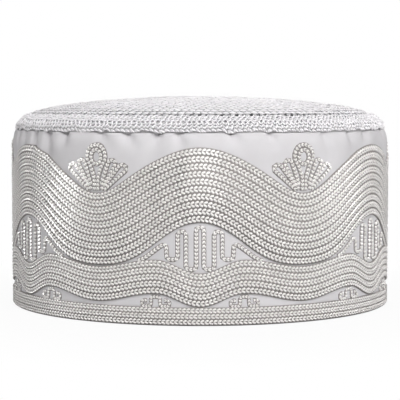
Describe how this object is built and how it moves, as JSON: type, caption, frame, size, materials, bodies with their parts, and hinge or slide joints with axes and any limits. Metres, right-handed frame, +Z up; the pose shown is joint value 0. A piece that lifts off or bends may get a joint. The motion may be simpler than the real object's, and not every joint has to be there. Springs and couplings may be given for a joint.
{
  "type": "kufi cap",
  "caption": "Round flat-topped kufi cap with a crocheted crown and a stiff cloth side band embroidered with raised chain-stitch waves.",
  "frame": {"origin": "centre of the rim's circle, on the plane that the cap stands on", "axes": "+Z up along the cap's axis through the crown; -Y is the front, at the middle of one wave crest"},
  "size_m": [0.188, 0.188, 0.1019],
  "materials": {
    "band_cloth": "stiff plain-woven white cotton, softly satin",
    "crochet_cotton": "matt white cotton crochet",
    "embroidery_thread": "silver-grey rayon chain stitch with a soft gloss"
  },
  "bodies": {
    "root": {"side_band": "band_cloth", "crown": "crochet_cotton", "upper_wave_embroidery": "embroidery_thread", "lower_wave_embroidery": "embroidery_thread", "hem_embroidery": "embroidery_thread", "meander_1": "embroidery_thread", "meander_2": "embroidery_thread", "meander_3": "embroidery_thread", "meander_4": "embroidery_thread", "meander_5": "embroidery_thread", "meander_6": "embroidery_thread", "palmette_1": "embroidery_thread", "palmette_2": "embroidery_thread", "palmette_3": "embroidery_thread", "palmette_4": "embroidery_thread", "palmette_5": "embroidery_thread", "palmette_6": "embroidery_thread", "scroll_1": "embroidery_thread", "scroll_2": "embroidery_thread", "scroll_3": "embroidery_thread", "scroll_4": "embroidery_thread", "scroll_5": "embroidery_thread", "scroll_6": "embroidery_thread", "scroll_7": "embroidery_thread", "scroll_8": "embroidery_thread", "scroll_9": "embroidery_thread", "scroll_10": "embroidery_thread", "scroll_11": "embroidery_thread", "scroll_12": "embroidery_thread"}
  },
  "joints": []
}
